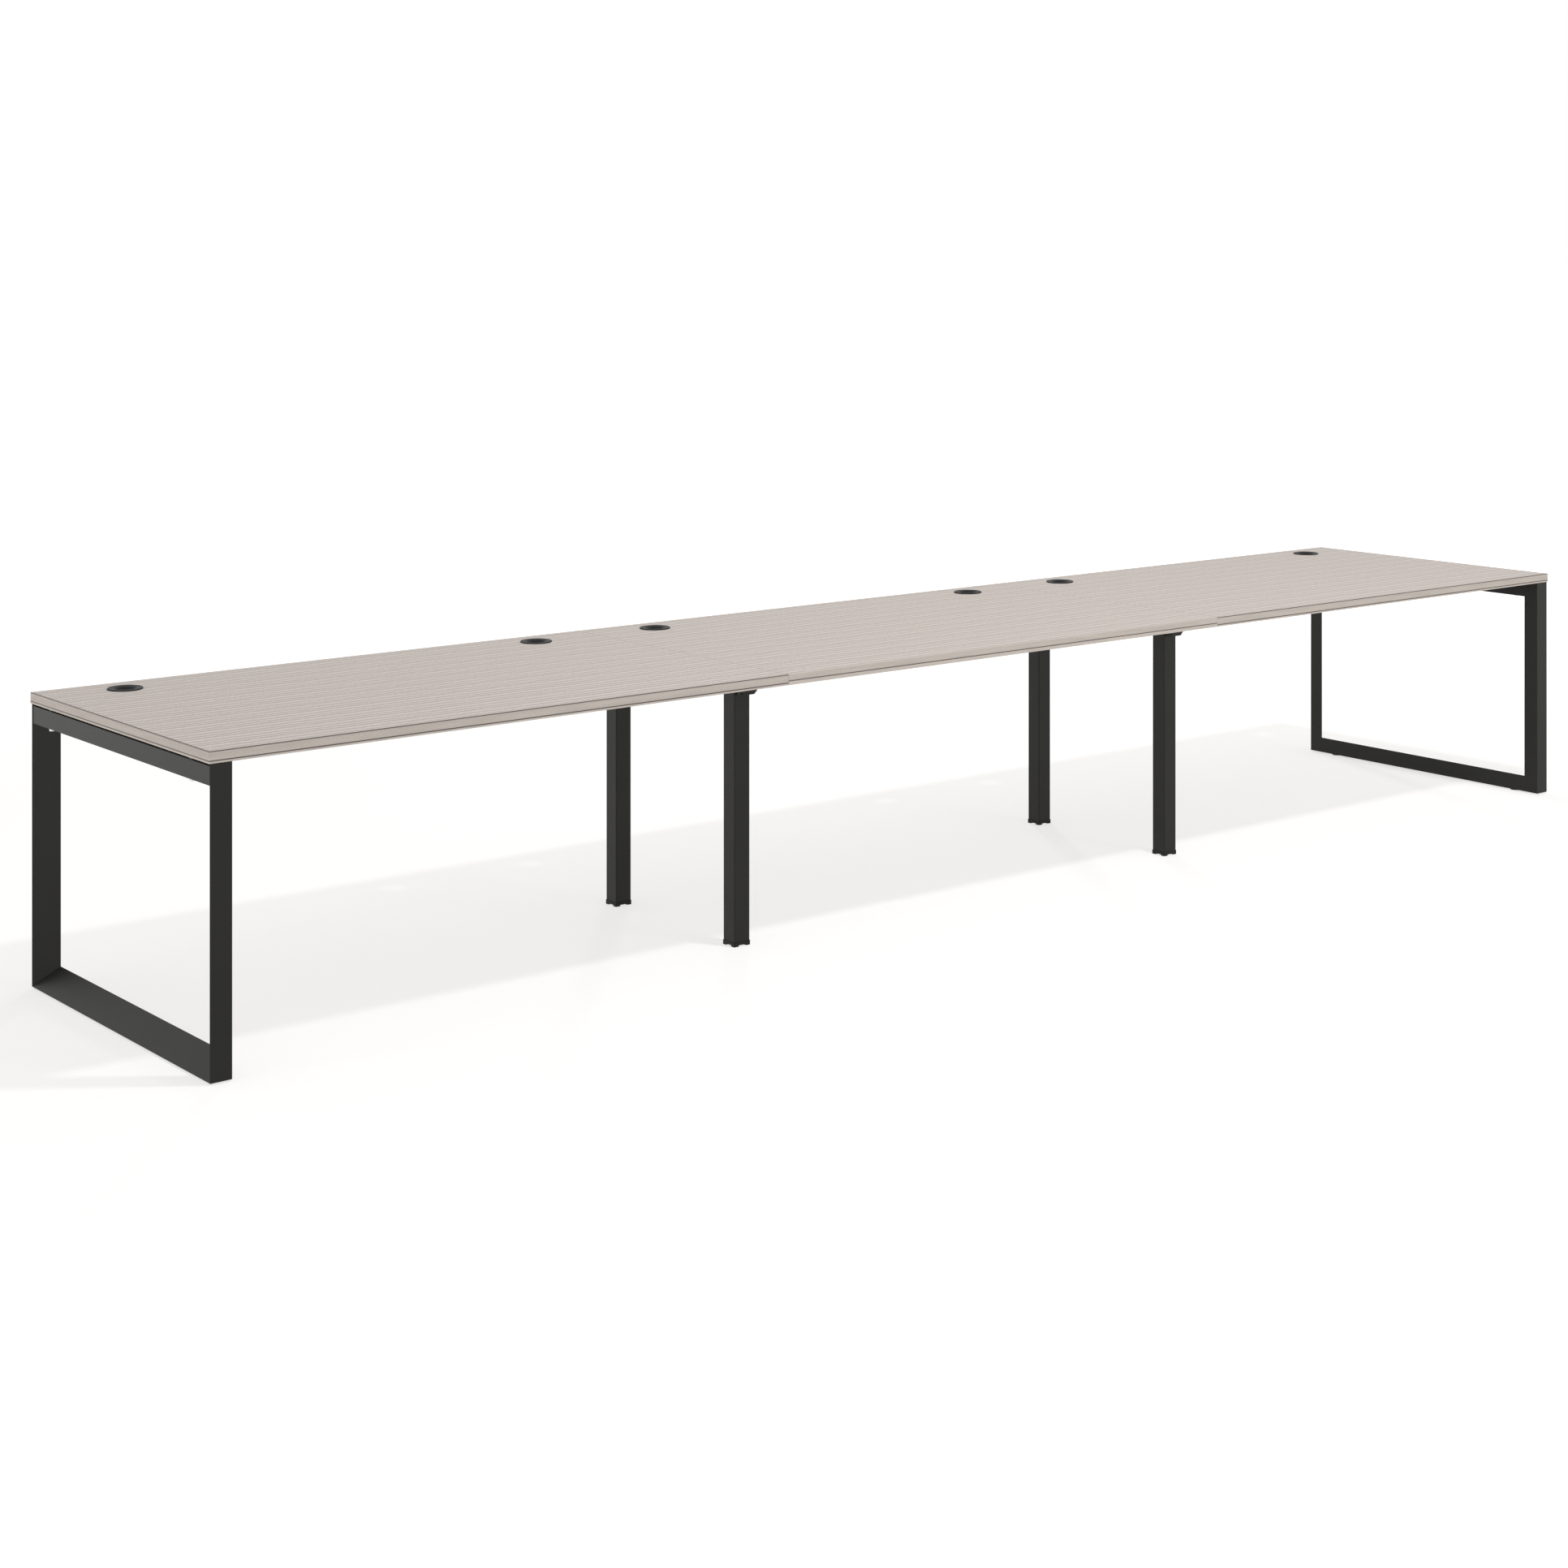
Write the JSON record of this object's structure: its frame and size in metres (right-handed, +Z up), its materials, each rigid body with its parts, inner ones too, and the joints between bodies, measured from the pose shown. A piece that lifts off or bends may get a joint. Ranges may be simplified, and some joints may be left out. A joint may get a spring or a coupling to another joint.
{
  "type": "multi-person bench workstation",
  "caption": "Long bench workstation: striped pale worktops end to end on dark loop end frames and square posts, with round black cable ports along the back",
  "frame": {"origin": "on the floor under the middle of the bench", "axes": "+X runs along the bench to the right as seen from the front, +Y to the back edge with the cable ports, +Z up"},
  "size_m": [4.8012, 1, 0.7384],
  "materials": {
    "worktop_board": "pale greige laminate with fine stripes along the bench, matt",
    "edging_band": "edging strip in the worktop's colour with thin dark lines along it",
    "port_plastic": "black moulded plastic, satin",
    "frame_paint": "near-black powder coat, fine texture",
    "foot_plastic": "black moulded plastic, matt",
    "spacer_plastic": "light grey plastic, matt",
    "inner_plastic": "black plastic, matt, inside the posts",
    "zinc_fixing": "bright zinc plated steel"
  },
  "bodies": {
    "bench": {"beam_left_front": "frame_paint", "beam_left_rear": "frame_paint", "beam_middle_front": "frame_paint", "beam_middle_rear": "frame_paint", "beam_right_front": "frame_paint", "beam_right_rear": "frame_paint", "beam_screws": "zinc_fixing", "beam_spigots": "zinc_fixing", "bracket_screws": "zinc_fixing", "edging_left": "edging_band", "edging_middle": "edging_band", "edging_right": "edging_band", "foot_sockets": "inner_plastic", "frame_bolts": "zinc_fixing", "frame_spacers": "spacer_plastic", "frame_washers": "zinc_fixing", "glide_nuts": "zinc_fixing", "left_bracket_front": "frame_paint", "left_bracket_rear": "frame_paint", "left_cross_rail": "frame_paint", "left_frame_floor_bar": "frame_paint", "left_frame_front_upright": "frame_paint", "left_frame_rear_upright": "frame_paint", "left_frame_top_rail": "frame_paint", "left_post_front": "frame_paint", "left_post_rear": "frame_paint", "port_sleeve_1": "port_plastic", "port_sleeve_2": "port_plastic", "port_sleeve_3": "port_plastic", "port_sleeve_4": "port_plastic", "port_sleeve_5": "port_plastic", "port_sleeve_6": "port_plastic", "post_top_plugs": "inner_plastic", "right_bracket_front": "frame_paint", "right_bracket_rear": "frame_paint", "right_cross_rail": "frame_paint", "right_frame_floor_bar": "frame_paint", "right_frame_front_upright": "frame_paint", "right_frame_rear_upright": "frame_paint", "right_frame_top_rail": "frame_paint", "right_post_front": "frame_paint", "right_post_rear": "frame_paint", "worktop_left": "worktop_board", "worktop_middle": "worktop_board", "worktop_right": "worktop_board"},
    "port_insert_1": {"port_insert_1": "port_plastic"},
    "port_insert_2": {"port_insert_2": "port_plastic"},
    "port_insert_3": {"port_insert_3": "port_plastic"},
    "port_insert_4": {"port_insert_4": "port_plastic"},
    "port_insert_5": {"port_insert_5": "port_plastic"},
    "port_insert_6": {"port_insert_6": "port_plastic"},
    "glide_left_front": {"glide_left_front": "foot_plastic"},
    "glide_left_rear": {"glide_left_rear": "foot_plastic"},
    "glide_right_front": {"glide_right_front": "foot_plastic"},
    "glide_right_rear": {"glide_right_rear": "foot_plastic"},
    "foot_left_front": {"foot_left_front": "foot_plastic"},
    "foot_left_rear": {"foot_left_rear": "foot_plastic"},
    "foot_right_front": {"foot_right_front": "foot_plastic"},
    "foot_right_rear": {"foot_right_rear": "foot_plastic"}
  },
  "joints": [
    {"name": "port_insert_1_lift", "type": "slide", "parent": "bench", "child": "port_insert_1", "axis": [0, 0, 1], "range_m": [0, 0.04]},
    {"name": "port_insert_2_lift", "type": "slide", "parent": "bench", "child": "port_insert_2", "axis": [0, 0, 1], "range_m": [0, 0.04]},
    {"name": "port_insert_3_lift", "type": "slide", "parent": "bench", "child": "port_insert_3", "axis": [0, 0, 1], "range_m": [0, 0.04]},
    {"name": "port_insert_4_lift", "type": "slide", "parent": "bench", "child": "port_insert_4", "axis": [0, 0, 1], "range_m": [0, 0.04]},
    {"name": "port_insert_5_lift", "type": "slide", "parent": "bench", "child": "port_insert_5", "axis": [0, 0, 1], "range_m": [0, 0.04]},
    {"name": "port_insert_6_lift", "type": "slide", "parent": "bench", "child": "port_insert_6", "axis": [0, 0, 1], "range_m": [0, 0.04]},
    {"name": "glide_left_front_level", "type": "slide", "parent": "bench", "child": "glide_left_front", "axis": [0, 0, -1], "range_m": [0, 0.01]},
    {"name": "glide_left_rear_level", "type": "slide", "parent": "bench", "child": "glide_left_rear", "axis": [0, 0, -1], "range_m": [0, 0.01]},
    {"name": "glide_right_front_level", "type": "slide", "parent": "bench", "child": "glide_right_front", "axis": [0, 0, -1], "range_m": [0, 0.01]},
    {"name": "glide_right_rear_level", "type": "slide", "parent": "bench", "child": "glide_right_rear", "axis": [0, 0, -1], "range_m": [0, 0.01]},
    {"name": "foot_left_front_level", "type": "slide", "parent": "bench", "child": "foot_left_front", "axis": [0, 0, -1], "range_m": [0, 0.012]},
    {"name": "foot_left_rear_level", "type": "slide", "parent": "bench", "child": "foot_left_rear", "axis": [0, 0, -1], "range_m": [0, 0.012]},
    {"name": "foot_right_front_level", "type": "slide", "parent": "bench", "child": "foot_right_front", "axis": [0, 0, -1], "range_m": [0, 0.012]},
    {"name": "foot_right_rear_level", "type": "slide", "parent": "bench", "child": "foot_right_rear", "axis": [0, 0, -1], "range_m": [0, 0.012]}
  ]
}
